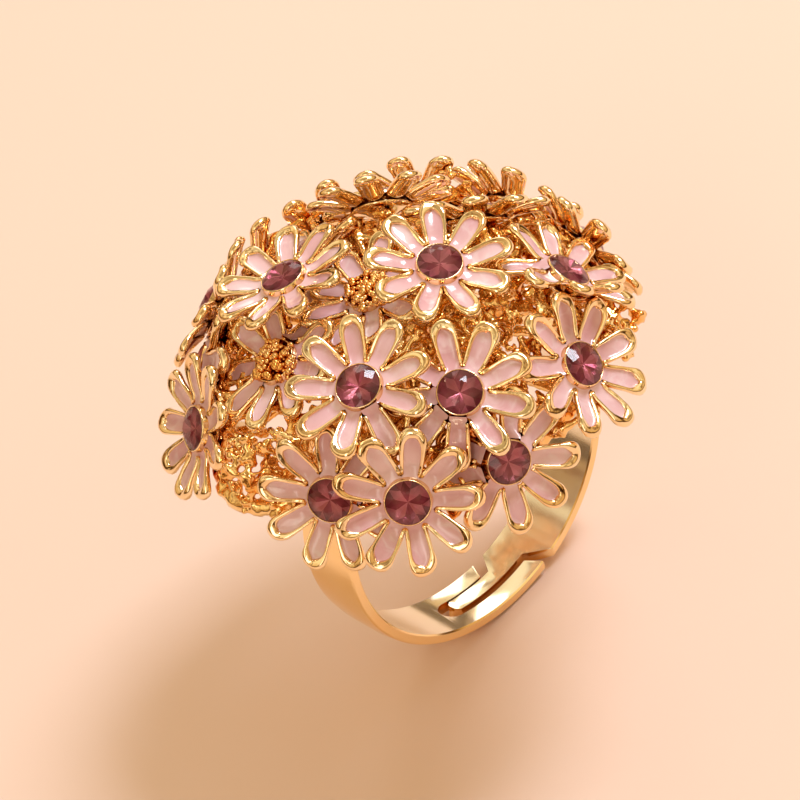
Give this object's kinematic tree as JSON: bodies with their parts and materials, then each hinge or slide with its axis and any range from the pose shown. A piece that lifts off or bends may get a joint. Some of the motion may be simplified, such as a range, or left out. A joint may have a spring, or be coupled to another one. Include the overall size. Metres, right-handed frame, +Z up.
{
  "type": "cocktail ring",
  "caption": "Cocktail ring: openwork dome of enamelled daisies with round stones on an open band whose fork and tongue ends slide to change its size.",
  "frame": {"origin": "lowest flat of the band, midway across its width, under the ring's centre", "axes": "+Z up the dome's axis, the finger goes through along Y, the fork arm is on -X and the tongue arm on +X"},
  "size_m": [0.026, 0.0259, 0.0273],
  "materials": {
    "gold_plate": "polished gold plate",
    "band_gold": "polished pale gold plate",
    "stone_glass": "faceted mauve glass"
  },
  "bodies": {
    "head": {"saddle": "band_gold", "dome_frame": "gold_plate", "daisy_01": "gold_plate", "daisy_02": "gold_plate", "daisy_03": "gold_plate", "daisy_04": "gold_plate", "daisy_05": "gold_plate", "daisy_06": "gold_plate", "daisy_07": "gold_plate", "daisy_08": "gold_plate", "daisy_09": "gold_plate", "daisy_10": "gold_plate", "daisy_11": "gold_plate", "daisy_12": "gold_plate", "daisy_13": "gold_plate", "daisy_14": "gold_plate", "daisy_15": "gold_plate", "daisy_16": "gold_plate", "daisy_17": "gold_plate", "daisy_18": "gold_plate", "daisy_19": "gold_plate", "daisy_20": "gold_plate", "daisy_21": "gold_plate", "daisy_22": "gold_plate", "grains_13": "gold_plate", "grains_22": "gold_plate", "stone_01": "stone_glass", "stone_02": "stone_glass", "stone_03": "stone_glass", "stone_04": "stone_glass", "stone_05": "stone_glass", "stone_06": "stone_glass", "stone_07": "stone_glass", "stone_08": "stone_glass", "stone_09": "stone_glass", "stone_10": "stone_glass", "stone_11": "stone_glass", "stone_12": "stone_glass", "stone_14": "stone_glass", "stone_15": "stone_glass", "stone_16": "stone_glass", "stone_17": "stone_glass", "stone_18": "stone_glass", "stone_19": "stone_glass", "stone_20": "stone_glass", "stone_21": "stone_glass"},
    "fork_arm": {"fork_arm": "band_gold"},
    "tongue_arm": {"tongue_arm": "band_gold"}
  },
  "joints": [
    {"name": "fork_flex", "type": "hinge", "parent": "head", "child": "fork_arm", "pos_m": [-0.00588, 0, 0.01697], "axis": [0, 1, 0], "range_deg": [-0.5, 7]},
    {"name": "tongue_flex", "type": "hinge", "parent": "head", "child": "tongue_arm", "pos_m": [0.00588, 0, 0.01697], "axis": [0, -1, 0], "range_deg": [-0.5, 7]}
  ]
}
